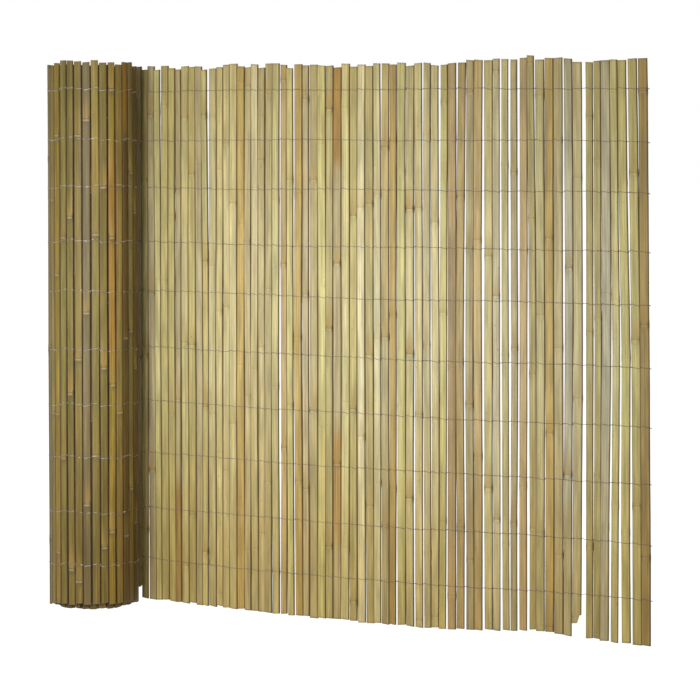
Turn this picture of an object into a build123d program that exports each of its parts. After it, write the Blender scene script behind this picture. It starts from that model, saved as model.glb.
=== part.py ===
"""Split bamboo screen: a one metre high mat of split bamboo slats, partly unrolled and standing on end.

The rest of the mat is still rolled up at its left end. Ten rows of binding wire run through the
mat, each a pair of strands with one on the face and one on the skin side of every slat.
Z is up along the slats, X runs from the roll towards the free end, and Y points away from the viewer.
The origin is on the roll's axis, on the ground.
"""

from build123d import *
from math import cos, pi, radians, sin
from random import Random
import os

# Slats: split from the culm, so one side keeps the round skin
slat_length = 1000.0
slat_width = 14.5
slat_thickness = 4.5
skin_crown = 0.7
split_taper = 0.4
slat_gap = 1.1
unrolled_slats = 66
slats_per_node = 2

# How much one slat differs from the next. A gap narrower than closing_gap has closed up
width_spread = 2.2
shortest_by = 10.0
foot_spread = 3.0
end_wander = 1.5
middle_wander = 1.0
least_gap = 0.3
closing_gap = 2.0
grounded_share = 0.25

# Stretch of the mat whose slats have slid up a little
raised_by = 8.5
raised_centre = 53
raised_reach = 9

# Slats and gaps that stand out, counted from the roll, with what each is shortened or widened by
broken_feet = {2: 18.0, 58: 24.0}
wide_gaps = {30: 1.5, 32: 1.5, 39: 1.0, 43: 1.0, 47: 2.5, 51: 0.8, 54: 0.8, 56: 2.5, 58: 5.0, 61: 1.0}
foot_fan = {21: 1.0, 38: 1.0, 45: 1.0, 52: 1.0, 58: 1.5, 62: 4.0, 63: 5.0}
middle_fan_share = 0.7
even_end_slats = 6

# Binding wire
wire_diameter = 0.8
wire_from_top = 50.0
wire_from_foot = 78.0
row_strays = (0.0, 0.0, 5.0, 5.0, 9.0, 18.0, 12.0, 16.0, 7.0, 0.0)
wire_clearance = 0.05
wire_stub = 4.0

# Roll
roll_diameter = 174.0
core_diameter = 60.0
turn_clearance = 0.3
web_thickness = 1.4
wire_wrap_angle = 345.0
front_lift = 9.0
loose_turns = 2
least_step = 1.5

# Lie of the unrolled mat: its first heading, then gentle bends of equal length
first_heading = -34.0
bend_turns = (1.0, 7.0, 6.0, -8.0)

seed = 7

# Sizes that follow from those above
half_thickness = slat_thickness / 2
turn_pitch = slat_thickness + 2 * wire_diameter + turn_clearance
slat_pitch = slat_width + slat_gap
unrolled_length = unrolled_slats * slat_pitch + sum(wide_gaps.values())
bend_length = unrolled_length / len(bend_turns)
leave_angle = 90 + first_heading
front_angle = 270 - leave_angle
outer_radius = roll_diameter / 2 - half_thickness
inner_radius = core_diameter / 2 + half_thickness
roll_height = slat_length + front_lift
row_spacing = (slat_length - wire_from_top - wire_from_foot) / (len(row_strays) - 1)
row_heights = [
    wire_from_foot + row * row_spacing + stray for row, stray in enumerate(row_strays)
]
face_side = -1
skin_side = 1


def coil_point(coil_angle, offset=0.0):
    """A point of the coil, with the angle in degrees back from where the mat leaves it."""
    radius = outer_radius - turn_pitch * coil_angle / 360 + offset
    turned = radians(leave_angle + coil_angle)
    return Vector(radius * cos(turned), radius * sin(turned))


def coil_joints():
    """The coil angles at which one slat ends and the next begins, from the outside in."""
    angles = [0.0]
    radius = outer_radius
    while radius > inner_radius:
        angles.append(angles[-1] + 360 * slat_pitch / (2 * pi * radius))
        radius = outer_radius - turn_pitch * angles[-1] / 360
    return angles


def mat_line(offset, straight_end):
    """The edges of the unrolled mat's plan line, moved sideways towards its skin side."""
    point = coil_point(0, offset)
    heading = first_heading
    edges = []
    for turn in bend_turns:
        side = 1 if turn > 0 else -1
        radius = bend_length / radians(abs(turn)) - offset * side
        tangent = Vector(cos(radians(heading)), sin(radians(heading)))
        edges.append(JernArc(start=point, tangent=tangent, radius=radius, arc_size=turn))
        point = edges[-1] @ 1
        heading += turn
    edges.append(Line(point, point + (edges[-1] % 1) * straight_end))
    return edges


# Rolled part of the mat: all its turns are one piece
joint_angles = coil_joints()
rolled_slats = len(joint_angles) - 1
roll_chooser = Random(seed)


class RolledSlat:
    """One slat of the roll: where it lies on the coil and the heights of its two ends."""

    def __init__(self, number):
        self.first, self.last = joint_angles[number], joint_angles[number + 1]
        on_outer_turn = self.last <= 360
        lift = front_lift * max(0.0, cos(radians(self.first - front_angle))) * on_outer_turn
        is_loose = self.last <= 360 * loose_turns
        self.foot = lift + roll_chooser.uniform(0, foot_spread) * is_loose
        self.top = slat_length + lift - roll_chooser.uniform(0, shortest_by)

    def skin_corners(self):
        """The two outer corners of the slat's section, set in from its joints by half a gap."""
        start, end = coil_point(self.first), coil_point(self.last)
        along = (end - start).normalized()
        raised = Vector(along.Y, -along.X) * half_thickness
        inset = along * (slat_gap / 2)
        return [start + inset + raised, end - inset + raised]

    def end_block(self, low, high):
        """A block over this slat alone, which reaches half way into the space between turns."""
        reach = (turn_pitch - slat_thickness) / 4 + half_thickness
        with BuildPart(mode=Mode.PRIVATE) as block:
            with BuildSketch(Plane.XY.offset(low)):
                with BuildLine():
                    Polyline(
                        coil_point(self.first, reach),
                        coil_point(self.last, reach),
                        coil_point(self.last, -reach),
                        coil_point(self.first, -reach),
                        close=True,
                    )
                make_face()
            extrude(amount=high - low)
        return block.part


roll_slats = [RolledSlat(number) for number in range(rolled_slats)]
notch_floor = web_thickness - half_thickness
skin_outline = []
for slat in roll_slats:
    skin_outline += slat.skin_corners() + [coil_point(slat.last, notch_floor)]
skin_outline.pop()
face_outline = [coil_point(angle, -half_thickness) for angle in joint_angles]

with BuildPart() as rolled_turns:
    with BuildSketch():
        with BuildLine():
            Polyline(*skin_outline, *reversed(face_outline), close=True)
        make_face()
    extrude(amount=roll_height)
    add([slat.end_block(slat.top, roll_height) for slat in roll_slats], mode=Mode.SUBTRACT)
    add(
        [slat.end_block(0, slat.foot) for slat in roll_slats if slat.foot >= least_step],
        mode=Mode.SUBTRACT,
    )

rolled_turns.part.label = "rolled_turns"


# Slats of the unrolled part
with BuildLine() as mat_path:
    mat_line(0, straight_end=sum(foot_fan.values()) + slat_pitch)
mat_wire = mat_path.wire()


class Slat:
    """One slat's width, its place along the mat at foot, middle and top, and its end heights."""

    def __init__(self, number, previous):
        chooser = Random(seed * unrolled_slats + number)
        self.width = slat_width + chooser.uniform(-width_spread, width_spread)
        from_end = unrolled_slats - 1 - number
        raised = raised_by * max(0.0, 1 - abs(number - raised_centre) / raised_reach)
        is_grounded = from_end == 0 or chooser.random() < grounded_share
        lift = 0 if is_grounded else chooser.uniform(0, foot_spread)
        raggedness = shortest_by * min(1.0, from_end / even_end_slats)
        self.foot = raised + lift + broken_feet.get(number, 0.0)
        self.top = slat_length + raised - chooser.uniform(0, raggedness)
        centre = (number + 0.5) * slat_pitch
        centre += sum(extra for place, extra in wide_gaps.items() if place < number)
        fan = sum(extra for place, extra in foot_fan.items() if place < number)
        spreads = (end_wander, middle_wander, end_wander)
        shares = (1.0, middle_fan_share, 0.0)
        self.places = []
        for level, (spread, share) in enumerate(zip(spreads, shares)):
            wanted = centre + share * fan + chooser.uniform(-spread, spread)
            edge = previous.places[level] + previous.width / 2 if previous else 0.0
            closed = edge + least_gap + self.width / 2
            self.places.append(wanted if wanted - closed > closing_gap - least_gap else closed)

    def place_at(self, height):
        """The slat's place along the mat at a height."""
        foot, middle, top = self.places
        low, high = (foot, middle) if height < slat_length / 2 else (middle, top)
        return low + (high - low) * (height % (slat_length / 2)) / (slat_length / 2)

    def build(self):
        """The slat through three sections: flat face, tapered split sides and rounded skin."""
        face_half = self.width / 2 - split_taper
        with BuildPart() as piece:
            for place, level in zip(self.places, (self.foot, slat_length / 2, self.top)):
                spot = mat_wire.position_at(place, position_mode=PositionMode.LENGTH)
                along = mat_wire.tangent_at(place, position_mode=PositionMode.LENGTH)
                section = Plane(origin=(spot.X, spot.Y, level), x_dir=along, z_dir=(0, 0, 1))
                with BuildSketch(section):
                    with BuildLine():
                        face = Line((-face_half, -half_thickness), (face_half, -half_thickness))
                        right = Line(face @ 1, (self.width / 2, half_thickness - skin_crown))
                        left = Line(face @ 0, (-self.width / 2, half_thickness - skin_crown))
                        ThreePointArc(right @ 1, (0, half_thickness), left @ 1)
                    make_face()
            loft(ruled=True)
        return piece.part


slats = []
for number in range(unrolled_slats):
    slats.append(Slat(number, slats[-1] if slats else None))


# Binding wire
def strand(side, height, wrapped_angles):
    """One strand of a row: a band that follows the mat, and the roll where it is wrapped."""
    near = half_thickness + wire_clearance
    mat_end = slats[-1].place_at(height) + slats[-1].width / 2
    straight_end = max(mat_end - unrolled_length, 0) + wire_stub
    starts, ends = [], []
    with BuildPart() as wire:
        with BuildSketch(Plane.XY.offset(height)):
            with BuildLine():
                for offset in (side * near, side * (near + wire_diameter)):
                    coil = [coil_point(angle, offset) for angle in wrapped_angles]
                    if len(coil) > 1:
                        Polyline(*coil)
                    edges = mat_line(offset, straight_end)
                    starts.append(coil[-1])
                    ends.append(edges[-1] @ 1)
                Line(*starts)
                Line(*ends)
            make_face()
        extrude(amount=wire_diameter)
    return wire.part


os.makedirs("parts", exist_ok=True)
export_step(rolled_turns.part, "parts/rolled_turns.step")

for first in range(0, unrolled_slats, slats_per_node):
    group = slats[first : first + slats_per_node]
    name = f"slats_{first + 1:02d}_{first + len(group):02d}"
    pieces = Compound(label=name, children=[slat.build() for slat in group])
    export_step(pieces, f"parts/{name}.step")

wrapped_angles = [angle for angle in joint_angles if angle <= wire_wrap_angle]
for row, height in enumerate(row_heights, start=1):
    face_strand = strand(face_side, height, wrapped_angles[:1])
    face_strand.label = f"wire_{row:02d}_face_strand"
    export_step(face_strand, f"parts/{face_strand.label}.step")
    skin_strand = strand(skin_side, height, wrapped_angles)
    skin_strand.label = f"wire_{row:02d}_skin_strand"
    export_step(skin_strand, f"parts/{skin_strand.label}.step")
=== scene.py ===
"""Looks of the split bamboo screen: every slat, the roll and the ten rows of twisted binding wire.

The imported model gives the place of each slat. This script dresses it with slats that have rounded
arrises, node rings, fibres and colours of their own, and with pairs of round wires that cross in
each gap. Lengths are in metres, Z is up, X runs from the roll to the free end of the mat, and Y
points away from the viewer.
"""

import logging
import math
from collections.abc import Callable
from dataclasses import dataclass, field
from enum import Enum
from random import Random

import bmesh
import bpy
import numpy as np
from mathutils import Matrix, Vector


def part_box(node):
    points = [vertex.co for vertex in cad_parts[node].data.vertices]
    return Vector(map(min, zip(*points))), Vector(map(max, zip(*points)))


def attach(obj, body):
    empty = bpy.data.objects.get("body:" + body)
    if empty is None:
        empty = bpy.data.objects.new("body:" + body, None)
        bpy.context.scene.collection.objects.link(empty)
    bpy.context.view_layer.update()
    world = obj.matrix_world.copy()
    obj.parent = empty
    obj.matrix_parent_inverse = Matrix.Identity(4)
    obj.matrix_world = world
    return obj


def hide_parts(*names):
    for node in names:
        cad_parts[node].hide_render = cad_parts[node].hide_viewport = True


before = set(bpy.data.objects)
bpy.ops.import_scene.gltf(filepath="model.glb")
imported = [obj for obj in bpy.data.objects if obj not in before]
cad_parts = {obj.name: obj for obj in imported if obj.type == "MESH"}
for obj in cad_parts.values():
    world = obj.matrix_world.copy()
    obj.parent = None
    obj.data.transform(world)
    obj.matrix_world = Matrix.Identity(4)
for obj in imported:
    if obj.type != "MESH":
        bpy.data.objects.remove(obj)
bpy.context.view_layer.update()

MM = 0.001
BODY = "root"
ROW_COUNT = 10
SLAT_LENGTH = 1.0
SLAT_THICKNESS = 4.5 * MM
SPLIT_TAPER = 0.8 * MM
FULL_TURN = 360.0
Triple = tuple[float, float, float]
log = logging.getLogger("bamboo_screen")


class Side(Enum):
    """The side of the slats that a strand lies on, as its sign along the slat's outward direction."""

    FACE = -1
    SKIN = 1


class Tone(Enum):
    """Colours that bamboo takes as it dries and weathers, and one dark brown that is painted shade, in
    sRGB from 0 to 255.
    """

    STRAW = (210, 198, 144)
    PALE = (218, 209, 166)
    OLIVE = (197, 185, 127)
    LEMON = (206, 197, 134)
    KHAKI = (192, 179, 133)
    SILVER = (194, 188, 156)
    OCHRE = (198, 172, 106)
    TAN = (197, 174, 124)
    BURNT = (174, 126, 50)
    DARK = (122, 104, 62)
    SKIN_OLIVE = (138, 122, 66)
    SKIN_OCHRE = (162, 137, 62)
    SKIN_ORANGE = (164, 118, 56)
    SKIN_GREY = (126, 111, 76)
    SKIN_TAN = (148, 124, 68)
    SKIN_GREEN = (140, 127, 72)
    # painted shade: this dark brown stands for the shade on the roll's right-hand slats, which face
    # away from the lamps
    SKIN_PAINTED_SHADE = (104, 83, 38)

    def linear(self) -> Triple:
        """The colour in linear light."""
        return tuple(linear_light(part / 255) for part in self.value)


def linear_light(part: float) -> float:
    """One sRGB component from 0 to 1 as linear light."""
    return part / 12.92 if part <= 0.04045 else ((part + 0.055) / 1.055) ** 2.4


FACE_TONES = {
    Tone.STRAW: 5, Tone.PALE: 1.2, Tone.OLIVE: 4, Tone.LEMON: 3, Tone.KHAKI: 3,
    Tone.SILVER: 1.5, Tone.OCHRE: 1.5, Tone.TAN: 2,
}
SKIN_TONES = {
    Tone.SKIN_OLIVE: 5, Tone.SKIN_OCHRE: 2.5, Tone.SKIN_ORANGE: 0.6, Tone.SKIN_GREY: 2.5,
    Tone.SKIN_TAN: 2.5, Tone.SKIN_GREEN: 1.5,
}
# Listed tones of the roll's front slats. Slats 24 to 30, on its right-hand side, take the dark brown
# that is painted shade.
ROLL_FRONT_AND_PAINTED_SHADE = {
    15: Tone.SKIN_OCHRE, 18: Tone.SKIN_OLIVE, 19: Tone.SKIN_GREY, 20: Tone.SKIN_GREEN,
    21: Tone.SKIN_OLIVE, 22: Tone.SKIN_OCHRE, 23: Tone.SKIN_TAN, 24: Tone.SKIN_PAINTED_SHADE,
    25: Tone.SKIN_OLIVE, 26: Tone.SKIN_PAINTED_SHADE, 27: Tone.SKIN_PAINTED_SHADE, 28: Tone.SKIN_PAINTED_SHADE,
    29: Tone.SKIN_PAINTED_SHADE, 30: Tone.SKIN_PAINTED_SHADE,
}


def picked(tones: dict[Tone, float], chooser: Random) -> Tone:
    """A tone drawn from a palette by its weights.

    Args:
        tones: the palette, with each tone's weight.
        chooser: the seeded source of draws.

    Returns:
        The tone that was drawn.
    """
    return chooser.choices(list(tones), weights=list(tones.values()))[0]


@dataclass(frozen=True)
class Stain:
    """A stretch of one slat that has turned another colour, with its two heights."""

    slat: int
    low: float
    high: float
    tone: Tone
    strength: float = 0.7


MAT_STAINS = (
    Stain(30, 0.80, 1.02, Tone.BURNT, 0.75),
    Stain(30, 0.12, 0.36, Tone.BURNT, 0.6),
    Stain(8, -0.05, 0.24, Tone.BURNT, 0.6),
    Stain(44, 0.30, 0.72, Tone.DARK, 0.35),
    Stain(19, 0.55, 1.02, Tone.PALE, 0.6),
    Stain(57, -0.05, 0.25, Tone.OCHRE, 0.5),
    Stain(65, -0.05, 1.05, Tone.DARK, 0.35),
    Stain(36, 0.50, 1.05, Tone.OCHRE, 0.45),
    Stain(12, 0.20, 0.70, Tone.OCHRE, 0.4),
)
ROLL_STAINS = (
    Stain(22, 0.45, 0.85, Tone.SKIN_ORANGE, 0.7),
    Stain(20, 0.75, 1.02, Tone.SKIN_OCHRE, 0.5),
    Stain(24, 0.86, 1.04, Tone.BURNT, 0.6),
)


class Socket:
    """A value, colour or vector in a material's nodes, with Python's operators for its maths."""

    def __init__(self, sheet: "NodeSheet", output: bpy.types.NodeSocket) -> None:
        """Wraps an output of one of the sheet's nodes."""
        self.sheet = sheet
        self.output = output

    def maths(self, operation: str, *others: "Socket | float", swapped: bool = False) -> "Socket":
        """A Math node on this value.

        Args:
            operation: the Math node's operation.
            others: the other values, in order.
            swapped: whether this value comes second.

        Returns:
            The node's result.
        """
        values = [*others, self] if swapped else [self, *others]
        return self.sheet.node(
            "ShaderNodeMath", {"operation": operation}, dict(enumerate(values))
        )

    def __add__(self, other: "Socket | float") -> "Socket":
        """The sum."""
        return self.maths("ADD", other)

    __radd__ = __add__

    def __mul__(self, other: "Socket | float") -> "Socket":
        """The product."""
        return self.maths("MULTIPLY", other)

    __rmul__ = __mul__

    def __sub__(self, other: "Socket | float") -> "Socket":
        """The difference."""
        return self.maths("SUBTRACT", other)

    def __rsub__(self, other: "Socket | float") -> "Socket":
        """The difference, with this value second."""
        return self.maths("SUBTRACT", other, swapped=True)

    def __abs__(self) -> "Socket":
        """The size without its sign."""
        return self.maths("ABSOLUTE")

    def between(self, start: float, end: float, low: float = 0.0, high: float = 1.0) -> "Socket":
        """This value eased from low at start to high at end, and held beyond them."""
        return self.sheet.node(
            "ShaderNodeMapRange",
            {"interpolation_type": "SMOOTHSTEP"},
            {0: self, 1: start, 2: end, 3: low, 4: high},
        )

    def scaled(self, factors: Triple) -> "Socket":
        """This vector with each part multiplied by its own factor."""
        return self.sheet.node(
            "ShaderNodeVectorMath", {"operation": "MULTIPLY"}, {0: self, 1: factors}
        )

    def part(self, letter: str) -> "Socket":
        """One part of this vector: X, Y or Z."""
        return self.sheet.node("ShaderNodeSeparateXYZ", {}, {0: self}, letter)


class NodeSheet:
    """The node tree of one material, or of the surroundings."""

    def __init__(self, owner: bpy.types.Material | bpy.types.World) -> None:
        """Starts with no nodes.

        Args:
            owner: the new material or world that the nodes belong to.
        """
        self.owner = owner
        owner.use_nodes = True
        self.tree = owner.node_tree
        self.tree.nodes.clear()

    def node(
        self,
        kind: str,
        settings: dict[str, object] | None = None,
        inputs: dict[int | str, object] | None = None,
        output: int | str = 0,
    ) -> Socket:
        """Adds a node.

        Args:
            kind: the node's type.
            settings: its options, set first.
            inputs: the value or link of each socket, by name or number.
            output: the output that is wanted.

        Returns:
            That output.
        """
        made = self.tree.nodes.new(kind)
        for key, value in (settings or {}).items():
            setattr(made, key, value)
        for key, value in (inputs or {}).items():
            if isinstance(value, Socket):
                self.tree.links.new(value.output, made.inputs[key])
            elif isinstance(value, tuple) and made.inputs[key].type == "RGBA":
                made.inputs[key].default_value = (*value, 1.0)
            else:
                made.inputs[key].default_value = value
        return Socket(self, made.outputs[output])

    def blend(
        self, first: object, second: object, share: object, mode: str = "MIX"
    ) -> Socket:
        """Two colours mixed.

        Args:
            first: the colour at a share of 0.
            second: the colour at a share of 1.
            share: how much of the second there is.
            mode: the Mix node's way of mixing.

        Returns:
            The mixed colour.
        """
        return self.node(
            "ShaderNodeMix",
            {"data_type": "RGBA", "blend_type": mode},
            {0: share, 6: first, 7: second},
            2,
        )

    def attribute(self, name: str, output: str) -> Socket:
        """One of the mesh's own attributes."""
        return self.node("ShaderNodeAttribute", {"attribute_name": name}, {}, output)

    def noise(self, place: Socket, scale: float, detail: float, roughness: float = 0.5) -> Socket:
        """Noise from 0 to 1 at a place."""
        return self.node(
            "ShaderNodeTexNoise",
            {},
            {"Vector": place, "Scale": scale, "Detail": detail, "Roughness": roughness},
        )

    def bump(self, height: Socket, strength: float, distance: float) -> Socket:
        """The normal of a surface with that height in it."""
        return self.node(
            "ShaderNodeBump",
            {},
            {"Strength": strength, "Distance": distance, "Height": height},
        )

    def surface(
        self, shader: Socket, kind: str = "ShaderNodeOutputMaterial"
    ) -> bpy.types.Material | bpy.types.World:
        """Ends the sheet with a shader.

        Args:
            shader: the finished shader.
            kind: the type of the output node.

        Returns:
            The material or world.
        """
        end = self.tree.nodes.new(kind)
        self.tree.links.new(shader.output, end.inputs["Surface"])
        return self.owner


class BambooPattern:
    """Where a point lies on its slat, and the fibres there, for the finish to follow."""

    def __init__(self, sheet: NodeSheet) -> None:
        """Reads what the slat's mesh holds. Its lengths are in millimetres.

        Args:
            sheet: the material's node tree.
        """
        self.grain = sheet.attribute("grain", "Vector")
        section = sheet.attribute("section", "Vector")
        culm = sheet.attribute("culm", "Vector")
        self.across = abs(section.part("X"))
        self.skin = section.part("Y").between(0.70, 0.86)
        self.end_gap = section.part("Z")
        self.node_gap = (culm.part("X").maths("FRACT") - 0.5) * culm.part("Y")
        self.mark = culm.part("Z")
        self.fine = sheet.noise(self.grain.scaled((2.6, 2.6, 0.012)), 1.0, 4.0, 0.62)
        self.broad = sheet.noise(self.grain.scaled((0.42, 0.42, 0.004)), 1.0, 3.0)
        self.ring = 1 - abs(self.node_gap - 0.6).between(0.3, 1.3)


@dataclass(frozen=True)
class BambooFinish:
    """Split bamboo: fibrous and matt on its flat face, satin on its rounded skin."""

    name: str
    face_roughness: float = 0.62
    skin_roughness: float = 0.52
    specular: float = 0.28
    fibre_relief: float = 0.35 * MM
    streak_depth: float = 0.22
    # darkening of the split edges: partly dirt, partly painted shade where the slats meet
    edge_dirt_and_shade: float = 0.86
    warm_tone: Triple = (0.47, 0.27, 0.085)
    green_tone: Triple = (0.34, 0.34, 0.15)
    halo_tone: Triple = (0.40, 0.25, 0.07)
    pale_tone: Triple = (0.50, 0.40, 0.22)
    smudge_tone: Triple = (0.12, 0.09, 0.045)
    ring_tone: Triple = (0.12, 0.075, 0.03)
    corner_tone: Triple = (0.085, 0.055, 0.02)
    fleck_tone: Triple = (0.10, 0.065, 0.028)
    edge_dirt_and_shade_tone: Triple = (0.12, 0.08, 0.026)
    sawn_tone: Triple = (0.19, 0.135, 0.062)

    def material(self) -> bpy.types.Material:
        """Builds the material.

        Returns:
            The finished material.
        """
        sheet = NodeSheet(bpy.data.materials.new(self.name))
        spot = BambooPattern(sheet)
        face_tone = sheet.attribute("face_tone", "Color")
        skin_tone = sheet.attribute("skin_tone", "Color")
        tone = sheet.blend(face_tone, skin_tone, spot.skin)
        for layer in (self.fibres, self.culm_nodes, self.weathering_and_edge_shade):
            tone = layer(sheet, spot, tone)
        rough = (
            self.face_roughness
            + spot.skin * (self.skin_roughness - self.face_roughness)
            + spot.fine.between(0.2, 0.8, -0.06, 0.08)
        )
        height = spot.fine * 0.55 + spot.broad * 0.45 - spot.ring * 0.8
        shader = sheet.node(
            "ShaderNodeBsdfPrincipled",
            {},
            {
                "Base Color": tone,
                "Roughness": rough,
                "Specular IOR Level": self.specular,
                "Normal": sheet.bump(height, 0.55, self.fibre_relief),
            },
        )
        return sheet.surface(shader)

    def fibres(self, sheet: NodeSheet, spot: BambooPattern, tone: Socket) -> Socket:
        """Adds the streaks of the fibres, and warmer and greener stretches along them.

        Args:
            sheet: the material's node tree.
            spot: the place on the slat.
            tone: the colour so far.

        Returns:
            The new colour.
        """
        patch = sheet.noise(spot.grain.scaled((0.10, 0.10, 0.012)), 1.0, 2.0)
        depth = self.streak_depth
        light = (
            spot.fine.between(0.25, 0.75, 1 - depth, 1 + depth * 0.7)
            * spot.broad.between(0.3, 0.7, 1 - depth * 0.8, 1 + depth * 0.6)
            * patch.between(0.3, 0.7, 0.82, 1.12)
        )
        shade = sheet.node("ShaderNodeCombineXYZ", {}, {0: light, 1: light, 2: light})
        tone = sheet.blend(tone, shade, 1.0, "MULTIPLY")
        warm = sheet.noise(spot.grain.scaled((0.22, 0.22, 0.006)), 1.0, 2.0).between(0.56, 0.76)
        tone = sheet.blend(tone, self.warm_tone, warm * 0.34)
        green = sheet.noise(spot.grain.scaled((0.16, 0.16, 0.004)), 2.0, 2.0).between(0.55, 0.74)
        return sheet.blend(tone, self.green_tone, green * 0.16)

    def culm_nodes(self, sheet: NodeSheet, spot: BambooPattern, tone: Socket) -> Socket:
        """Adds the marks of the culm's nodes: an ochre halo, a pale band and a dark ring.

        Args:
            sheet: the material's node tree.
            spot: the place on the slat.
            tone: the colour so far.

        Returns:
            The new colour.
        """
        near = abs(spot.node_gap)
        above = spot.node_gap.between(-1.0, 0.5)
        halo = above * (1 - near.between(2.0, 56.0)) * spot.broad.between(0.25, 0.6)
        tone = sheet.blend(tone, self.halo_tone, halo * spot.mark * 0.85)
        pale = 1 - abs(spot.node_gap + 2.2).between(0.8, 2.6)
        tone = sheet.blend(tone, self.pale_tone, pale * (spot.mark * 0.15 + spot.skin * 0.36))
        smudge = (1 - above) * (1 - near.between(5.0, 18.0)) * near.between(2.5, 4.5)
        smudge = smudge * spot.broad.between(0.3, 0.6) * (spot.mark * 0.2 + spot.skin * 0.5)
        tone = sheet.blend(tone, self.smudge_tone, smudge)
        ring = spot.ring * (0.03 + spot.mark * 0.3 + spot.skin * 0.3)
        tone = sheet.blend(tone, self.ring_tone, ring)
        corner = (1 - near.between(1.5, 9.0)) * spot.across.between(0.45, 0.95) * spot.mark
        return sheet.blend(tone, self.corner_tone, corner * 0.8)

    def weathering_and_edge_shade(self, sheet: NodeSheet, spot: BambooPattern, tone: Socket) -> Socket:
        """Adds dark flecks, darkening along the split edges that is partly dirt and partly painted
        shade where the slats meet, and the colour of the sawn ends.

        Args:
            sheet: the material's node tree.
            spot: the place on the slat.
            tone: the colour so far.

        Returns:
            The new colour.
        """
        fleck = sheet.noise(spot.grain.scaled((0.55, 0.55, 0.12)), 1.0, 2.0).between(0.70, 0.78)
        tone = sheet.blend(tone, self.fleck_tone, fleck * 0.65)
        # darker along the split edges: partly dirt, partly painted shade in the narrow gaps where
        # slats meet
        edge_dirt_and_shade_mask = spot.across.between(0.76, 0.97) * spot.fine.between(0.2, 0.8, 0.6, 1.0)
        tone = sheet.blend(tone, self.edge_dirt_and_shade_tone, edge_dirt_and_shade_mask * self.edge_dirt_and_shade)
        sawn = 1 - spot.end_gap.between(0.0, 5.0)
        return sheet.blend(tone, self.sawn_tone, sawn * 0.42)


@dataclass(frozen=True)
class WireFinish:
    """Galvanised wire: bright on the roll, and dark brown along the mat, which is partly rust and
    partly painted shade.
    """

    name: str
    bright: Triple = (0.62, 0.62, 0.60)
    # the wire's colour along the mat: partly rust, partly painted shade
    rust_and_painted_shade: Triple = (0.10, 0.072, 0.038)
    bright_until: float = 0.085
    fade: float = 0.02

    def material(self) -> bpy.types.Material:
        """Builds the material.

        Returns:
            The finished material.
        """
        sheet = NodeSheet(bpy.data.materials.new(self.name))
        place = sheet.node("ShaderNodeTexCoord", {}, {}, "Object")
        mottle = sheet.noise(place, 160.0, 3.0)
        # along the mat the wire is dark brown and less metallic: partly rust, partly painted shade
        mat_rust_and_shade = place.part("X").between(self.bright_until, self.bright_until + self.fade)
        wear_rust_and_shade = mat_rust_and_shade * 0.86 + mottle.between(0.44, 0.56) * 0.8 * (1 - mat_rust_and_shade)
        tone = sheet.blend(self.bright, self.rust_and_painted_shade, wear_rust_and_shade)
        shader = sheet.node(
            "ShaderNodeBsdfPrincipled",
            {},
            {
                "Base Color": tone,
                "Metallic": 0.9 - mat_rust_and_shade * 0.55,
                "Roughness": mottle.between(0.3, 0.7, 0.30, 0.55),
                "Normal": sheet.bump(mottle, 0.2, 0.05 * MM),
            },
        )
        return sheet.surface(shader)


@dataclass(frozen=True)
class FloorFinish:
    """A white floor that keeps the soft shadow of what stands on it."""

    name: str
    paint: Triple = (0.6, 0.6, 0.6)
    white: Triple = (1.0, 1.0, 1.0)
    glow: float = 1.4
    glow_share: float = 0.72

    def material(self) -> bpy.types.Material:
        """Builds the material.

        Returns:
            The finished material.
        """
        sheet = NodeSheet(bpy.data.materials.new(self.name))
        matt = sheet.node("ShaderNodeBsdfDiffuse", {}, {"Color": self.paint})
        glow = sheet.node("ShaderNodeEmission", {}, {"Color": self.white, "Strength": self.glow})
        camera = sheet.node("ShaderNodeLightPath", {}, {}, "Is Camera Ray")
        glossy = sheet.node("ShaderNodeLightPath", {}, {}, "Is Glossy Ray")
        seen = camera.maths("MAXIMUM", glossy) * self.glow_share
        return sheet.surface(sheet.node("ShaderNodeMixShader", {}, {0: seen, 1: matt, 2: glow}))


def nothing_selected() -> None:
    """Deselects every object."""
    bpy.ops.object.select_all(action="DESELECT")


def edges_selected(piece: bpy.types.Object, wanted: Callable[..., bool]) -> None:
    """Selects, in edit mode, the edges whose two ends pass a test.

    Args:
        piece: the object in edit mode.
        wanted: a function of the two ends' places that says whether the edge is chosen.
    """
    bpy.ops.mesh.select_mode(type="EDGE")
    bpy.ops.mesh.select_all(action="DESELECT")
    bench = bmesh.from_edit_mesh(piece.data)
    for edge in bench.edges:
        edge.select_set(wanted(*(corner.co for corner in edge.verts)))
    bmesh.update_edit_mesh(piece.data)


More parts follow.
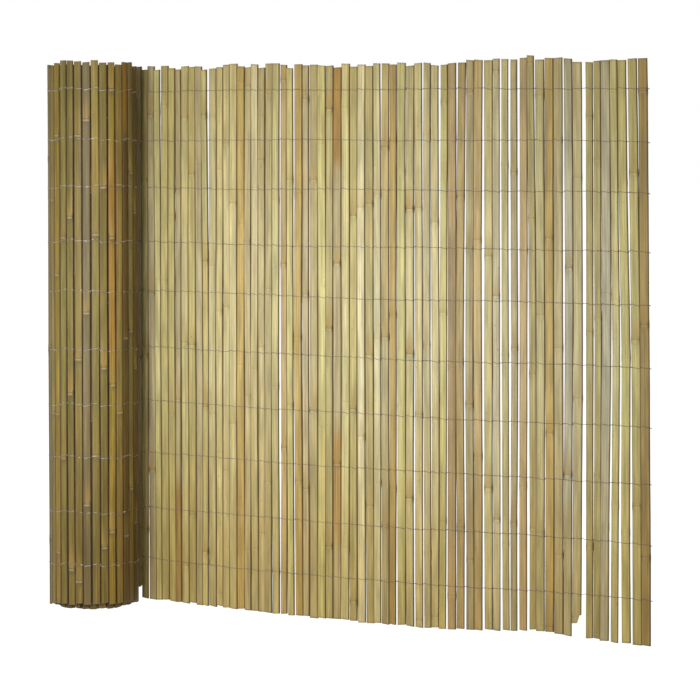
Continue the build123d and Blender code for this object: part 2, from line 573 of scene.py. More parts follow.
@dataclass
class SlatBlank:
    """A plain straight slat. It is planed once, and every slat of its kind is a copy of it."""

    name: str
    stations: int
    cuts: tuple[float, ...]
    segments: int = 2
    width: float = 13 * MM
    thickness: float = SLAT_THICKNESS
    length: float = SLAT_LENGTH
    arris: float = 0.5 * MM
    end_arris: float = 0.3 * MM
    smooth_below: float = 40.0

    def build(self) -> bpy.types.Object:
        """Planes the slat, standing on the origin with its skin towards Y.

        Returns:
            The blank, which is hidden once its copies are made.
        """
        nothing_selected()
        bpy.ops.mesh.primitive_cube_add(size=1, location=(0, 0, self.length / 2))
        piece = bpy.context.object
        piece.name = self.name
        piece.scale = (self.width, self.thickness, self.length)
        bpy.ops.object.transform_apply(location=True, rotation=False, scale=True)
        bpy.ops.object.mode_set(mode="EDIT")
        edges_selected(piece, lambda a, b: abs(a.z - b.z) > self.length / 2)
        bpy.ops.mesh.bevel(offset=self.arris, segments=self.segments, affect="EDGES")
        edges_selected(piece, lambda a, b: abs(a.z - b.z) < self.arris)
        bpy.ops.mesh.bevel(offset=self.end_arris, segments=1, affect="EDGES")
        for cut in self.cuts:
            bpy.ops.mesh.select_all(action="SELECT")
            bpy.ops.mesh.bisect(plane_co=(cut * self.width, 0, 0), plane_no=(1, 0, 0))
        edges_selected(piece, lambda a, b: abs(a.z - b.z) > self.length / 2)
        bpy.ops.mesh.subdivide(number_cuts=self.stations - 2)
        bpy.ops.mesh.select_all(action="SELECT")
        bpy.ops.mesh.normals_make_consistent(inside=False)
        bpy.ops.object.mode_set(mode="OBJECT")
        bpy.ops.object.shade_smooth_by_angle(angle=math.radians(self.smooth_below))
        return piece

    def copy(self, blank: bpy.types.Object, name: str) -> bpy.types.Object:
        """A copy of the blank with a mesh of its own.

        Args:
            blank: the blank's object.
            name: the copy's name.

        Returns:
            The copy.
        """
        piece = bpy.data.objects.new(name, blank.data.copy())
        bpy.context.scene.collection.objects.link(piece)
        return piece


@dataclass
class Plan:
    """Where one slat stands: its width, and its section's place and direction at several heights."""

    width: float
    heights: np.ndarray
    centres: np.ndarray
    alongs: np.ndarray

    @property
    def foot(self) -> float:
        """The height of its lower end."""
        return float(self.heights[0])

    @property
    def top(self) -> float:
        """The height of its upper end."""
        return float(self.heights[-1])

    def lie(self, heights: np.ndarray) -> tuple[np.ndarray, np.ndarray, np.ndarray]:
        """The slat's middle line and its two directions.

        Args:
            heights: the heights that are asked for.

        Returns:
            The places, the unit vectors along the mat and those out through the skin, in plan.
        """
        places, alongs = (
            np.stack([np.interp(heights, self.heights, rows[:, axis]) for axis in (0, 1)], axis=1)
            for rows in (self.centres, self.alongs)
        )
        alongs /= np.linalg.norm(alongs, axis=1, keepdims=True)
        outward = np.stack([-alongs[:, 1], alongs[:, 0]], axis=1)
        return places, alongs, outward


@dataclass
class Slat:
    """One slat of split bamboo: how it grew, how it was split and how it has weathered."""

    plan: Plan
    chooser: Random
    face_tone: Tone
    skin_tone: Tone
    stains: tuple[Stain, ...] = ()
    splintered: float = 0.0
    thickness: float = SLAT_THICKNESS
    crown: float = 0.7 * MM
    taper: float = SPLIT_TAPER
    internodes: tuple[float, float] = (0.25, 0.42)
    shades: tuple[float, float] = (0.90, 1.07)
    sway: float = 0.8 * MM
    kink_count: int = 8
    kink: float = 1.1 * MM
    bulge: float = 0.5 * MM
    edge_wave: float = 0.16 * MM
    edge_wave_paces: tuple[float, float] = (23.0, 61.0)
    twist_limit: float = 3.0
    knuckle: float = 0.55 * MM
    knuckle_width: float = 0.6 * MM
    knuckle_reach: float = 7 * MM
    groove: float = 0.35 * MM
    groove_above: float = 1.4 * MM
    groove_reach: float = 1.1 * MM
    face_knuckle: float = 0.7
    face_groove: float = 0.6
    end_clear: float = 22 * MM
    least_step: float = 0.3 * MM
    node_offsets: tuple[float, ...] = (-16, -9, -5, -2.5, -1, 0, 1, 2.5, 5, 9, 16)
    foot_slant: float = 0.12
    top_slant: float = 0.09
    slant_reach: float = 14 * MM
    splinter_reach: float = 60 * MM
    splinter_side: float = 0.1
    foot_yellowing: Triple = (0.89, 0.80, 0.61)
    foot_yellow_below: float = 0.45
    foot_fade: float = 0.35
    # painted shade: towards the top the slats are darker, as less light reaches there, and a little
    # yellower
    top_shade_and_yellowing: Triple = (0.82, 0.79, 0.69)
    top_shade_and_yellow_above: float = 0.65
    top_fade: float = 0.3
    stain_fade: float = 30 * MM

    def __post_init__(self) -> None:
        """Draws what is this slat's own."""
        draw = self.chooser.uniform
        self.internode = draw(*self.internodes)
        self.first_node = draw(0.0, self.internode)
        self.twist = [math.radians(draw(-self.twist_limit, self.twist_limit)) for _ in range(2)]
        self.waves = [(draw(0.5, 1.6), draw(0, 2 * math.pi), draw(0.4, 1.0)) for _ in range(3)]
        self.grain_shift = np.array([draw(0, 900), draw(0, 900), draw(0, 9000)])
        self.shade = draw(*self.shades)
        self.hue_shift = np.array([draw(0.99, 1.04), 1.0, draw(0.92, 1.10)])
        self.mark = draw(0.2, 1.0) ** 2
        self.cut_slopes = [draw(-slant, slant) for slant in (self.foot_slant, self.top_slant)]
        self.kinks = [(draw(-1, 1), draw(-1, 1)) for _ in range(self.kink_count)]

    def nodes(self) -> list[float]:
        """The heights of the rings that the slat's culm had.

        Returns:
            Those that lie well inside the slat's two ends, from the foot up.
        """
        spots = np.arange(self.first_node, self.plan.top, self.internode)
        low, high = self.plan.foot + self.end_clear, self.plan.top - self.end_clear
        return [float(spot) for spot in spots if low < spot < high]

    def station_heights(self, count: int) -> np.ndarray:
        """Heights for the slat's stations, close together at its nodes.

        Args:
            count: how many there are.

        Returns:
            The heights from foot to top.
        """
        close = [spot + offset * MM for spot in self.nodes() for offset in self.node_offsets]
        close = close[: count - 2]
        even = np.linspace(self.plan.foot, self.plan.top, count - len(close))
        heights = np.sort(np.concatenate([even, close]))
        for index in range(1, count):
            heights[index] = max(heights[index], heights[index - 1] + self.least_step)
        heights[-1] = self.plan.top
        return heights

    def place(self, height: np.ndarray, x: np.ndarray, y: np.ndarray) -> np.ndarray:
        """Points of the slat from their place in its section.

        Args:
            height: the height of each point.
            x: its place along the mat from the slat's middle.
            y: its place out through the skin from the slat's middle.

        Returns:
            The points in the model's frame.
        """
        share = (height - self.plan.foot) / (self.plan.top - self.plan.foot)
        turn = self.twist[0] + (self.twist[1] - self.twist[0]) * share
        wave = sum(
            np.sin(2 * math.pi * pace * height + start) * size for pace, start, size in self.waves
        )
        knees = np.arange(len(self.kinks)) * self.internode + self.first_node - self.internode
        sideways, outwards = np.array(self.kinks).T
        x = x + wave * self.sway / len(self.waves) + np.interp(height, knees, sideways) * self.kink
        y = y + np.interp(height, knees, outwards) * self.bulge
        turned_x = x * np.cos(turn) - y * np.sin(turn)
        turned_y = x * np.sin(turn) + y * np.cos(turn)
        places, alongs, outward = self.plan.lie(height)
        flat = places + alongs * turned_x[:, None] + outward * turned_y[:, None]
        return np.column_stack([flat, height])

    def stretched(self, plain: np.ndarray, blank: SlatBlank) -> np.ndarray:
        """Moves the blank's stations to the heights where this slat needs them.

        Args:
            plain: the heights of the blank's points.
            blank: the blank.

        Returns:
            Their heights in this slat.
        """
        even = np.linspace(blank.end_arris, blank.length - blank.end_arris, blank.stations)
        heights = self.station_heights(blank.stations)
        heights[0] += blank.end_arris
        heights[-1] -= blank.end_arris
        return np.interp(
            plain,
            np.concatenate([[0], even, [blank.length]]),
            np.concatenate([[self.plan.foot], heights, [self.plan.top]]),
        )

    def sawn(self, height: np.ndarray, across: np.ndarray) -> np.ndarray:
        """Slants both ends as their saw cuts do, and splinters a broken foot.

        Args:
            height: the height of each point.
            across: its place along the mat, from -1 to 1.

        Returns:
            The new heights, which stay between the slat's two ends.
        """
        foot_slope, top_slope = (slope * self.plan.width / 2 for slope in self.cut_slopes)
        foot_cut = across * foot_slope + abs(foot_slope)
        top_cut = across * top_slope + abs(top_slope)
        height = height + foot_cut * np.clip(1 - (height - self.plan.foot) / self.slant_reach, 0, 1)
        height = height - top_cut * np.clip(1 - (self.plan.top - height) / self.slant_reach, 0, 1)
        if self.splintered:
            low = 1 - np.clip((height - self.plan.foot) / self.splinter_reach, 0, 1)
            height = height + low * self.splintered * np.where(across > self.splinter_side, 1.0, 0.0)
        return height

    def section(
        self, height: np.ndarray, across: np.ndarray, through: np.ndarray
    ) -> tuple[np.ndarray, np.ndarray]:
        """Gives the section its true width, tapered sides and crown, and the nodes their knuckles.

        Args:
            height: the height of each point.
            across: its place along the mat, from -1 to 1.
            through: its place from the flat face at 0 to the skin at 1.

        Returns:
            Each point's place along the mat and out through the skin, from the slat's middle.
        """
        gaps = np.full(len(height), 1.0)
        for spot in self.nodes():
            offset = height - spot
            gaps = np.where(np.abs(offset) < np.abs(gaps), offset, gaps)
        swell = np.exp(-((gaps / self.knuckle_reach) ** 2))
        cut = np.exp(-(((gaps - self.groove_above) / self.groove_reach) ** 2))
        wave = sum(
            np.sin(height * pace + start)
            for pace, (_, start, _) in zip(self.edge_wave_paces, self.waves)
        )
        width = self.plan.width + wave * self.edge_wave + swell * self.knuckle_width
        x = across * (width - self.taper * (1 - through)) / 2
        y = (through - 0.5) * self.thickness - self.crown * across**2 * through
        knuckle, groove = swell * self.knuckle, cut * self.groove
        y += through * (knuckle - groove)
        y -= (1 - through) * (knuckle * self.face_knuckle - groove * self.face_groove)
        return x, y

    def shape(self, piece: bpy.types.Object, blank: SlatBlank) -> None:
        """Gives a copy of the blank this slat's place, form and colours.

        Args:
            piece: the copy.
            blank: the blank that it is a copy of.
        """
        mesh = piece.data
        count = len(mesh.vertices)
        plain = np.empty(count * 3)
        mesh.vertices.foreach_get("co", plain)
        plain = plain.reshape(-1, 3)
        across = plain[:, 0] / (blank.width / 2)
        through = plain[:, 1] / blank.thickness + 0.5
        z = self.sawn(self.stretched(plain[:, 2], blank), across)
        x, y = self.section(z, across, through)
        mesh.vertices.foreach_set("co", self.place(z, x, y).ravel())

        # What the finish follows: the fibres, the place in the section and the nearest node
        grain = np.column_stack([x, y, z]) / MM + self.grain_shift
        end_gap = np.minimum(z - self.plan.foot, self.plan.top - z) / MM
        phase = (z - self.first_node) / self.internode + 0.5
        kind = np.tile([self.internode / MM, self.mark], (count, 1))
        self.write(mesh, "grain", "FLOAT_VECTOR", grain)
        self.write(mesh, "section", "FLOAT_VECTOR", np.column_stack([across, through, end_gap]))
        self.write(mesh, "culm", "FLOAT_VECTOR", np.column_stack([phase, kind]))
        self.write(mesh, "face_tone", "FLOAT_COLOR", self.tones(self.face_tone, z))
        self.write(mesh, "skin_tone", "FLOAT_COLOR", self.tones(self.skin_tone, z))

    def tones(self, tone: Tone, heights: np.ndarray) -> np.ndarray:
        """The slat's colour at each point, with its stains, yellower towards the foot, and darker and
        a little yellower towards the top, where the darkening is painted shade.

        Args:
            tone: the colour that it has elsewhere.
            heights: the height of each point.

        Returns:
            Linear colours with an alpha of 1.
        """
        colour = np.array(tone.linear()) * self.shade * self.hue_shift
        rows = np.tile(colour, (len(heights), 1))
        low = np.clip((self.foot_yellow_below - heights) / self.foot_fade, 0, 1)[:, None]
        high = np.clip((heights - self.top_shade_and_yellow_above) / self.top_fade, 0, 1)[:, None]
        rows = rows * (1 - low * (1 - np.array(self.foot_yellowing)))
        # towards the top: darker, which is painted shade, and a little yellower
        rows = rows * (1 - high * (1 - np.array(self.top_shade_and_yellowing)))
        for stain in self.stains:
            inside = np.clip((heights - stain.low) / self.stain_fade, 0, 1)
            inside *= np.clip((stain.high - heights) / self.stain_fade, 0, 1)
            share = (inside * stain.strength)[:, None]
            rows = rows * (1 - share) + np.array(stain.tone.linear()) * share
        return np.column_stack([rows, np.ones(len(heights))])

    @staticmethod
    def write(mesh: bpy.types.Mesh, name: str, kind: str, rows: np.ndarray) -> None:
        """Stores one attribute on a mesh's points.

        Args:
            mesh: the mesh.
            name: the attribute's name.
            kind: its data type, a vector's or a colour's.
            rows: its value at each point.
        """
        layer = mesh.attributes.new(name, kind, "POINT")
        key = "color" if kind == "FLOAT_COLOR" else "vector"
        layer.data.foreach_set(key, np.ascontiguousarray(rows, dtype=np.float32).ravel())


def joined(pieces: list[bpy.types.Object], name: str) -> bpy.types.Object:
    """Several objects made one.

    Args:
        pieces: the objects.
        name: the name of the result.

    Returns:
        The joined object.
    """
    nothing_selected()
    for piece in pieces:
        piece.select_set(True)
    bpy.context.view_layer.objects.active = pieces[0]
    bpy.ops.object.join()
    pieces[0].name = name
    pieces[0].data.name = name
    return pieces[0]


def dressed(piece: bpy.types.Object, finish: bpy.types.Material, slot: str, *nodes: str) -> None:
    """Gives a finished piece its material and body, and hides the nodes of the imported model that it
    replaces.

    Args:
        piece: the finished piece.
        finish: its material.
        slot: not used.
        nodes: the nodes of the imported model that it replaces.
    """
    piece.data.materials.clear()
    piece.data.materials.append(finish)
    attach(piece, BODY)
    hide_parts(*nodes)
    log.info("%s: %d faces", piece.name, len(piece.data.polygons))


@dataclass
class UnrolledMat:
    """The unrolled slats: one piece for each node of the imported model."""

    finish: bpy.types.Material
    thickness: float = SLAT_THICKNESS
    taper: float = SPLIT_TAPER
    splinters: dict[int, float] = field(default_factory=lambda: {2: 5 * MM, 58: 14 * MM})
    narrow_gaps: tuple[int, ...] = (0, 1, 2, 3, 7, 11)
    most_widened: float = 2.0 * MM
    gap_levels: Triple = (0.1, 0.5, 0.9)
    same_height: float = 0.02 * MM
    seed: int = 4100
    slats: list[Slat] = field(default_factory=list)

    def plans(self, node: bpy.types.Object) -> list[Plan]:
        """Reads the slats of one node.

        Args:
            node: the node's object.

        Returns:
            The plan of each of its slats, from the roll outwards.
        """
        corners = {}
        for vertex in node.data.vertices:
            spot = tuple(round(value, 6) for value in vertex.co)
            corners.setdefault(spot, len(corners))
        group = list(range(len(corners)))

        def root(index: int) -> int:
            """The head of the group that a corner belongs to."""
            while group[index] != index:
                index = group[index]
            return index

        for face in node.data.polygons:
            spots = [
                corners[tuple(round(value, 6) for value in node.data.vertices[number].co)]
                for number in face.vertices
            ]
            for other in spots[1:]:
                group[root(other)] = root(spots[0])
        solids = {}
        for spot, index in corners.items():
            solids.setdefault(root(index), []).append(spot)
        found = [self.plan(np.array(spots)) for spots in solids.values()]
        return sorted(found, key=lambda plan: plan.centres[1][0])

    def plan(self, spots: np.ndarray) -> Plan:
        """The plan of one slat from the corners of its three sections.

        Args:
            spots: the corners.

        Returns:
            The plan.
        """
        heights = np.unique(np.round(spots[:, 2], 5))
        centres, alongs, widths = [], [], []
        for height in heights:
            ring = spots[np.abs(spots[:, 2] - height) < self.same_height][:, :2]
            middle = ring.mean(axis=0)
            turns = np.arctan2(*(ring - middle).T[::-1])
            ring = ring[np.argsort(turns)]
            sides = np.roll(ring, -1, axis=0) - ring
            longest = int(np.argmax(np.linalg.norm(sides, axis=1)))
            side = sides[longest]
            length = float(np.linalg.norm(side))
            along = side / length * (1 if side[0] > 0 else -1)
            outward = np.array([-along[1], along[0]])
            centres.append(ring[longest] + side / 2 + outward * self.thickness / 2)
            alongs.append(along)
            widths.append(length + self.taper)
        return Plan(float(np.mean(widths)), heights, np.array(centres), np.array(alongs))

    def narrow_gap(self, plan: Plan, follower: Plan) -> None:
        """Widens a slat towards the next one, so that little light comes through between them.

        Args:
            plan: the slat's plan.
            follower: the plan of the slat after it.
        """
        heights = np.array(self.gap_levels)
        apart = np.linalg.norm(follower.lie(heights)[0] - plan.lie(heights)[0], axis=1)
        gap = float(apart.mean()) - (plan.width + follower.width) / 2
        extra = min(max(gap, 0.0), self.most_widened)
        plan.width += extra
        plan.centres = plan.centres + plan.alongs * extra / 2

    def build(self, blank: SlatBlank, master: bpy.types.Object) -> None:
        """Makes each node's slats.

        Args:
            blank: the sizes of the blank slat.
            master: the blank slat's object.
        """
        names = sorted(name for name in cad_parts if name.startswith("slats_"))
        groups = [self.plans(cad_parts[name]) for name in names]
        plans = [plan for group in groups for plan in group]
        for number in self.narrow_gaps:
            self.narrow_gap(plans[number], plans[number + 1])
        for name, group in zip(names, groups):
            pieces = []
            for plan in group:
                number = len(self.slats)
                chooser = Random(self.seed + number)
                slat = Slat(
                    plan,
                    chooser,
                    picked(FACE_TONES, chooser),
                    picked(SKIN_TONES, chooser),
                    tuple(stain for stain in MAT_STAINS if stain.slat == number),
                    self.splinters.get(number, 0.0),
                )
                self.slats.append(slat)
                piece = blank.copy(master, f"slat_{number + 1:02d}")
                slat.shape(piece, blank)
                pieces.append(piece)
            dressed(joined(pieces, f"split_{name}"), self.finish, "bamboo", name)


@dataclass
class Roll:
    """The rolled part of the mat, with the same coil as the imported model."""

    finish: bpy.types.Material
    diameter: float = 174 * MM
    core_diameter: float = 60 * MM
    thickness: float = SLAT_THICKNESS
    turn_pitch: float = 6.4 * MM
    slat_pitch: float = 15.6 * MM
    slat_gap: float = 1.1 * MM
    narrower_by: tuple[float, float] = (0.2 * MM, 2.2 * MM)
    leave_angle: float = 56.0
    wire_wrap_angle: float = 345.0
    fine_until: float = 400.0
    # painted shade: the slats of the inner turns, seen through the gaps, are darkened by this factor
    inner_turn_painted_shade: float = 0.55
    twist_limit: float = 4.0
    corner_reach: float = 0.2 * MM
    seed: int = 9300
    slats: list[Slat] = field(default_factory=list)

    def joints(self) -> list[float]:
        """Divides the coil into slats.

        Returns:
            The coil angles at which one slat ends and the next begins, from the outside in.
        """
        outer = self.diameter / 2 - self.thickness / 2
        inner = self.core_diameter / 2 + self.thickness / 2
        angles, radius = [0.0], outer
        while radius > inner:
            angles.append(angles[-1] + FULL_TURN * self.slat_pitch / (2 * math.pi * radius))
            radius = outer - self.turn_pitch * angles[-1] / FULL_TURN
        return angles

    def spot(self, angle: float) -> np.ndarray:
        """A point of the coil.

        Args:
            angle: the angle in degrees back from where the mat leaves the coil.

        Returns:
            The point in plan.
        """
        radius = self.diameter / 2 - self.thickness / 2 - self.turn_pitch * angle / FULL_TURN
        turned = math.radians(self.leave_angle + angle)
        return radius * np.array([math.cos(turned), math.sin(turned)])

    def corners(self) -> np.ndarray:
        """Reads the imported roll.

        Returns:
            The places of its corners, each once.
        """
        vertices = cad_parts["rolled_turns"].data.vertices
        corners = np.empty(len(vertices) * 3)
        vertices.foreach_get("co", corners)
        return np.unique(np.round(corners.reshape(-1, 3), 5), axis=0)

    def plan(self, start: np.ndarray, end: np.ndarray, corners: np.ndarray) -> Plan:
        """The plan of one slat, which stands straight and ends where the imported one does.

        Args:
            start: the coil's point at its inner joint.
            end: the coil's point at its outer joint.
            corners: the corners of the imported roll.

        Returns:
            The plan.
        """
        reach = float(np.linalg.norm(end - start))
        along = (end - start) / reach
        outward = np.array([-along[1], along[0]])
        skin_corner = start + along * self.slat_gap / 2 + outward * self.thickness / 2
        apart = np.linalg.norm(corners[:, :2] - skin_corner, axis=1)
        near = corners[apart < self.corner_reach]
        foot, top = 0.0, SLAT_LENGTH
        if len(near) > 1:
            foot, top = near[:, 2].min(), near[:, 2].max()
        heights, middle = np.array([foot, top]), (start + end) / 2
        return Plan(reach - self.slat_gap, heights, np.array([middle] * 2), np.array([along] * 2))

    def build(self, blanks: dict[bool, tuple[SlatBlank, bpy.types.Object]]) -> None:
        """Makes the roll's slats and joins them.

        Args:
            blanks: the fine blank for the outer turn under True, and the plain one under False.
        """
        corners = self.corners()
        angles = self.joints()
        pieces = []
        for number, (first, last) in enumerate(zip(angles, angles[1:])):
            plan = self.plan(self.spot(last), self.spot(first), corners)
            chooser = Random(self.seed + number)
            least, most = self.narrower_by
            plan.width += chooser.uniform(-most, -least)
            face_tone, skin_tone = picked(FACE_TONES, chooser), picked(SKIN_TONES, chooser)
            # the roll's front slats take their listed tones; those on its right-hand side take a dark
            # brown that is painted shade
            skin_tone = ROLL_FRONT_AND_PAINTED_SHADE.get(number, skin_tone)
            stains = tuple(stain for stain in ROLL_STAINS if stain.slat == number)
            slat = Slat(plan, chooser, face_tone, skin_tone, stains, twist_limit=self.twist_limit)
            # the inner turns get painted shade: their colour is darkened as the hollow of the coil
            # would be
            slat.shade *= 1.0 if last <= FULL_TURN else self.inner_turn_painted_shade
            self.slats.append(slat)
            blank, master = blanks[last <= self.fine_until]
            piece = blank.copy(master, f"rolled_slat_{number + 1:03d}")
            slat.shape(piece, blank)
            pieces.append(piece)
        dressed(joined(pieces, "rolled_slats"), self.finish, "rolled_bamboo", "rolled_turns")
        log.info("the roll holds %d slats", len(pieces))

    def wrapped(self) -> list[Slat]:
        """The outer slats that the wire goes round.

        Returns:
            The slats, from the back of the roll to the mat.
        """
        last_joints = self.joints()[1:]
        outer = [slat for slat, angle in zip(self.slats, last_joints) if angle <= self.wire_wrap_angle]
        return outer[::-1]


def level(vector: np.ndarray) -> np.ndarray:
    """The direction of a vector in plan, one unit long."""
    flat = vector * (1.0, 1.0, 0.0)
    return flat / np.linalg.norm(flat)


@dataclass
class BindingWire:
    """One row of binding wire: two strands that cross in each gap between slats."""

    row: int
    finish: bpy.types.Material
    height: float
    radius: float = 0.42 * MM
    looseness: float = 1.3
    bedding: float = 0.9
    edge_tuck: float = 0.45 * MM
    gap_points: int = 7
    stub: float = 3.5 * MM
    stub_points: int = 8
    stub_turns: float = 2.0
    stub_droop: float = 1.2 * MM
    jitter: float = 0.9 * MM
    roam: float = 1.6 * MM
    roam_paces: tuple[float, float] = (0.21, 0.083)
    row_phase: float = 1.7
    most_slope: float = 1.7 * MM
    skin_fractions: tuple[float, ...] = (-1.0, -0.8, -0.35, 0.35, 0.8, 1.0)
    face_fractions: tuple[float, ...] = (-1.0, -0.93, 0.93, 1.0)
    place_seed: int = 1000
    slope_seed: int = 77

    def height_at(self, number: int, lift: float) -> float:
        """How high the row crosses one slat: it roams slowly, and jumps a little at each slat.

        Args:
            number: the slat's number, counted along the row.
            lift: how far the slat has been lifted in the roll.

        Returns:
            The height.
        """
        chooser = Random(self.row * self.place_seed + number)
        quick, slow = self.roam_paces
        wave = math.sin(number * quick + self.row * self.row_phase)
        wave += math.sin(number * slow + self.row)
        return self.height + lift + wave * self.roam / 2 + chooser.uniform(-1, 1) * self.jitter

    def seats(self, slats: list[Slat], lifts: list[float], side: Side) -> list[np.ndarray]:
        """The points of a strand where it passes over each slat.

        Args:
            slats: the slats in the row's order.
            lifts: how far each is lifted.
            side: the side that the strand lies on.

        Returns:
            For each slat, its points from edge to edge.
        """
        rows = []
        on_skin = side is Side.SKIN
        fractions = np.array(self.skin_fractions if on_skin else self.face_fractions)
        for number, (slat, lift) in enumerate(zip(slats, lifts)):
            half = slat.plan.width / 2
            x = fractions * (half if on_skin else half - slat.taper / 2)
            y = np.full(len(x), slat.thickness / 2 + self.radius * self.bedding)
            if on_skin:
                y -= slat.crown * fractions**2
            y[[0, -1]] -= self.edge_tuck
            slope = Random(self.row * self.slope_seed + number).uniform(-self.most_slope, 0.0)
            z = self.height_at(number, lift) + slope * fractions
            rows.append(slat.place(z, x, y * side.value))
        return rows

    def swing(self, outward: np.ndarray, turn: float) -> np.ndarray:
        """How far the strand stands off its row's line at an angle of the twist, in radians."""
        way = outward * math.cos(turn) + np.array([0, 0, math.sin(turn)])
        return way * self.radius * self.looseness

    def path(self, slats: list[Slat], lifts: list[float], side: Side) -> np.ndarray:
        """A strand's whole line, twisted with its partner in each gap.

        Args:
            slats: the slats in the row's order.
            lifts: how far each is lifted.
            side: the strand's side.

        Returns:
            The points of its line.
        """
        own = self.seats(slats, lifts, side)
        other = self.seats(slats, lifts, Side.FACE if side is Side.SKIN else Side.SKIN)
        points = list(own[0])
        for index in range(1, len(own)):
            start = (own[index - 1][-1] + other[index - 1][-1]) / 2
            end = (own[index][0] + other[index][0]) / 2
            outward = level(own[index - 1][-1] - other[index - 1][-1])
            for step in range(1, self.gap_points + 1):
                share = step / (self.gap_points + 1)
                centre = start + (end - start) * share
                points.append(centre + self.swing(outward, 2 * math.pi * share))
            points.extend(own[index])
        points.extend(self.tail(own[-1], other[-1]))
        return np.array(points)

    def tail(self, own: np.ndarray, other: np.ndarray) -> list[np.ndarray]:
        """The twisted end past the last slat, which droops a little.

        Args:
            own: the strand's points on that slat.
            other: its partner's points there.

        Returns:
            The points of the tail.
        """
        centre = (own[-1] + other[-1]) / 2
        along = level(own[-1] - own[0])
        outward = level(own[-1] - other[-1])
        points = []
        for step in range(1, self.stub_points + 1):
            share = step / self.stub_points
            turn = 2 * math.pi * self.stub_turns * share
            spot = centre + along * self.stub * share + self.swing(outward, turn)
            points.append(spot + np.array([0, 0, -self.stub_droop]) * share**2)
        return points

    def build(self, slats: list[Slat], lifts: list[float]) -> None:
        """Makes both strands.

        Args:
            slats: the slats in the row's order, from the back of the roll to the free end.
            lifts: how far each is lifted.
        """
        for side in Side:
            name = f"wire_{self.row:02d}_{side.name.lower()}_strand"
            line = self.path(slats, lifts, side)
            curve = bpy.data.curves.new(name, "CURVE")
            curve.dimensions = "3D"
            curve.bevel_depth = self.radius
            curve.bevel_resolution = 1
            curve.use_fill_caps = True
            spline = curve.splines.new("POLY")
            spline.points.add(len(line) - 1)
            spline.points.foreach_set("co", np.column_stack([line, np.ones(len(line))]).ravel())
            piece = bpy.data.objects.new(f"round_{name}", curve)
            bpy.context.scene.collection.objects.link(piece)
            nothing_selected()
            piece.select_set(True)
            bpy.context.view_layer.objects.active = piece
            bpy.ops.object.convert(target="MESH")
            piece = bpy.context.object
            bpy.ops.object.shade_smooth()
            dressed(piece, self.finish, "binding_wire", name)


@dataclass(frozen=True)
class Lamp:
    """A square soft lamp: where it hangs, what it shines at, its width and its power in watts."""

    name: str
    place: Triple
    aim: Triple
    size: float
    power: float

    def build(self) -> None:
        """Hangs the lamp and turns it to its aim."""
        bpy.ops.object.light_add(type="AREA", location=self.place)
        lamp = bpy.context.object
        lamp.name = self.name
        lamp.data.size = self.size
        lamp.data.energy = self.power
        way = np.array(self.aim) - np.array(self.place)
        flat = math.hypot(way[0], way[1])
        lamp.rotation_euler = (math.atan2(flat, -way[2]), 0, math.atan2(way[1], way[0]) - math.pi / 2)


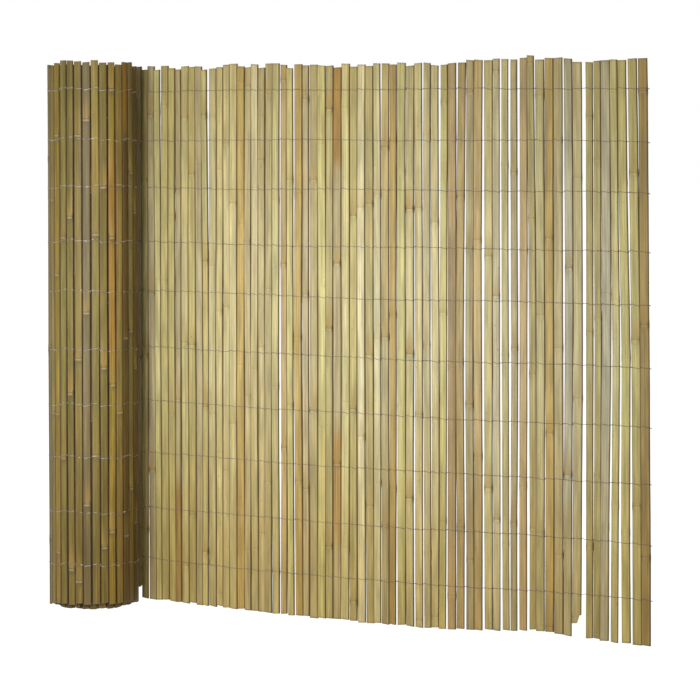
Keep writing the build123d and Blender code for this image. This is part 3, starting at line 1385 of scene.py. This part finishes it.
@dataclass
class Studio:
    """The plain white floor, the soft lamps and the camera."""

    eye: Triple = (0.475, -4.8, 0.87)
    tilt: float = 2.43
    lens: float = 133.3
    shift: float = -0.15
    floor_size: float = 60.0
    floor_middle: Triple = (0.4, 0.0, 0.0)
    ambient: float = 0.36
    backdrop: Triple = (1.0, 1.0, 1.0)
    lamps: tuple[Lamp, ...] = (
        Lamp("key_lamp", (-0.3, -1.12, 0.68), (0.28, 0.0, 0.6), 0.45, 10.4),
        Lamp("fill_lamp", (1.25, -3.0, 1.4), (0.75, 0.0, 0.6), 1.4, 13.0),
        Lamp("back_lamp", (0.8, 2.6, 2.0), (0.4, 0.0, 0.5), 1.6, 42.0),
    )

    def floor(self) -> None:
        """Lays the floor."""
        nothing_selected()
        bpy.ops.mesh.primitive_plane_add(size=self.floor_size, location=self.floor_middle)
        floor = bpy.context.object
        floor.name = "studio_floor"
        bpy.ops.object.transform_apply(location=True, rotation=False, scale=False)
        floor.data.materials.append(FloorFinish("white_floor").material())

    def surroundings(self) -> None:
        """Sets the soft light from all round, and the white that the camera sees behind it."""
        sheet = NodeSheet(bpy.data.worlds.new("surroundings"))
        soft, seen = (
            sheet.node("ShaderNodeBackground", {}, {"Color": self.backdrop, "Strength": strength})
            for strength in (self.ambient, 1.0)
        )
        camera_ray = sheet.node("ShaderNodeLightPath", {}, {}, "Is Camera Ray")
        mixed = sheet.node("ShaderNodeMixShader", {}, {0: camera_ray, 1: soft, 2: seen})
        bpy.context.scene.world = sheet.surface(mixed, "ShaderNodeOutputWorld")

    def camera(self) -> None:
        """Sets the camera."""
        bpy.ops.object.camera_add(location=self.eye, rotation=(math.radians(90 - self.tilt), 0, 0))
        camera = bpy.context.object
        camera.name = "camera"
        camera.data.lens = self.lens
        camera.data.shift_y = self.shift
        bpy.context.scene.camera = camera
        bpy.context.scene.view_settings.view_transform = "Standard"

    def build(self) -> None:
        """Sets up the whole studio."""
        self.floor()
        for lamp in self.lamps:
            lamp.build()
        self.surroundings()
        self.camera()


def main() -> None:
    """Builds the screen and its studio."""
    logging.basicConfig(level=logging.INFO, format="%(name)s: %(message)s")
    Studio().build()
    fine = SlatBlank("fine_blank", stations=66, cuts=(-0.28, 0.0, 0.28))
    plain = SlatBlank("plain_blank", stations=12, cuts=(0.0,), segments=1)
    blanks = {True: (fine, fine.build()), False: (plain, plain.build())}

    mat = UnrolledMat(BambooFinish("split_bamboo").material())
    mat.build(*blanks[True])
    roll = Roll(BambooFinish("rolled_bamboo", streak_depth=0.28, edge_dirt_and_shade=0.85).material())
    roll.build(blanks)
    for _, master in blanks.values():
        bpy.data.objects.remove(master)

    wire_finish = WireFinish("galvanised_wire").material()
    wrapped = roll.wrapped()
    lifts = [max(slat.plan.top - SLAT_LENGTH, 0.0) for slat in wrapped] + [0.0] * len(mat.slats)
    for row in range(1, ROW_COUNT + 1):
        low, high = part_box(f"wire_{row:02d}_face_strand")
        BindingWire(row, wire_finish, (low.z + high.z) / 2).build(wrapped + mat.slats, lifts)


if __name__ == "__main__":
    main()
